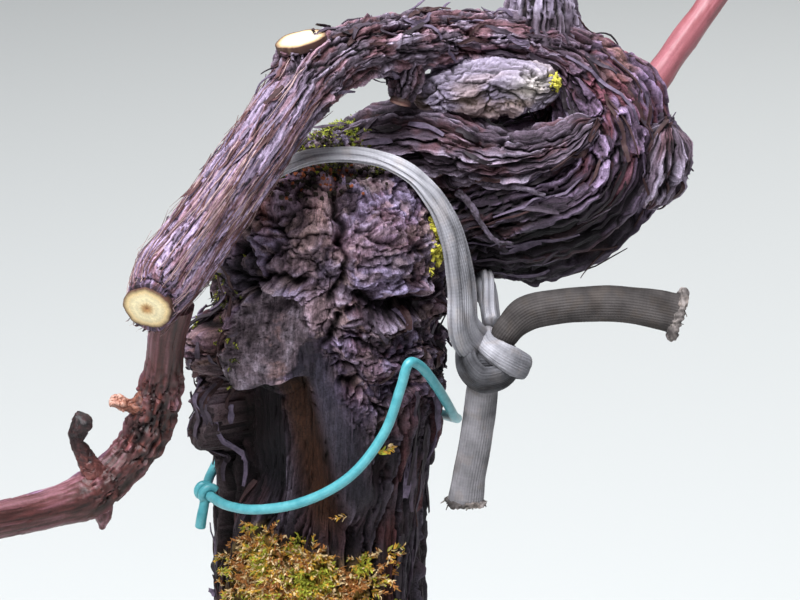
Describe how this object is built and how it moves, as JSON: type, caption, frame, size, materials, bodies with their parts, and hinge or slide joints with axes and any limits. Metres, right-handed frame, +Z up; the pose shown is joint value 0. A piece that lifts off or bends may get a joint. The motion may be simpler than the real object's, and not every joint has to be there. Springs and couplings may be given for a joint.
{
  "type": "grapevine",
  "caption": "Old pruned grapevine: short trunk with a knobbly head, an arm curled round its own old wood and arching back, bare canes, a knitted tube tie and a thin cord tie.",
  "frame": {"origin": "centre of the flat cut under the trunk, at ground level", "axes": "+X to the right and +Y away from the viewer of the picture's side, +Z up along the trunk"},
  "size_m": [0.4309, 0.2981, 0.6444],
  "materials": {
    "trunk_bark": "rough peeling bark with moss at the foot",
    "curl_bark": "rough peeling bark in swirling strands",
    "arm_bark": "pale fibrous bark",
    "old_wood": "weathered bare wood",
    "cut_wood": "freshly sawn end grain",
    "brown_cane": "thin striped cane bark",
    "red_cane": "smooth one-year cane bark",
    "tube_tie": "weathered knitted tube",
    "cord_tie": "smooth soft plastic, slightly glossy"
  },
  "bodies": {
    "root": {"trunk": "trunk_bark", "curl_lower": "curl_bark", "curl_upper": "curl_bark", "curl_side_lobe": "curl_bark", "shoulder": "curl_bark", "old_wood_core": "old_wood", "arch": "arm_bark", "left_arm": "arm_bark", "elbow_cut_stump": "cut_wood", "hanging_stub": "curl_bark", "top_stub": "arm_bark", "cane_left": "brown_cane", "cane_spur_stub": "brown_cane", "cane_dry_stalk": "brown_cane", "cane_lower_bud": "brown_cane", "cane_right": "red_cane", "tie_knot": "tube_tie", "tie_ring": "tube_tie", "tie_tail_down": "tube_tie", "tie_tail_side": "tube_tie", "cord_knot": "cord_tie", "cord_ring": "cord_tie", "cord_tail": "cord_tie"}
  },
  "joints": []
}
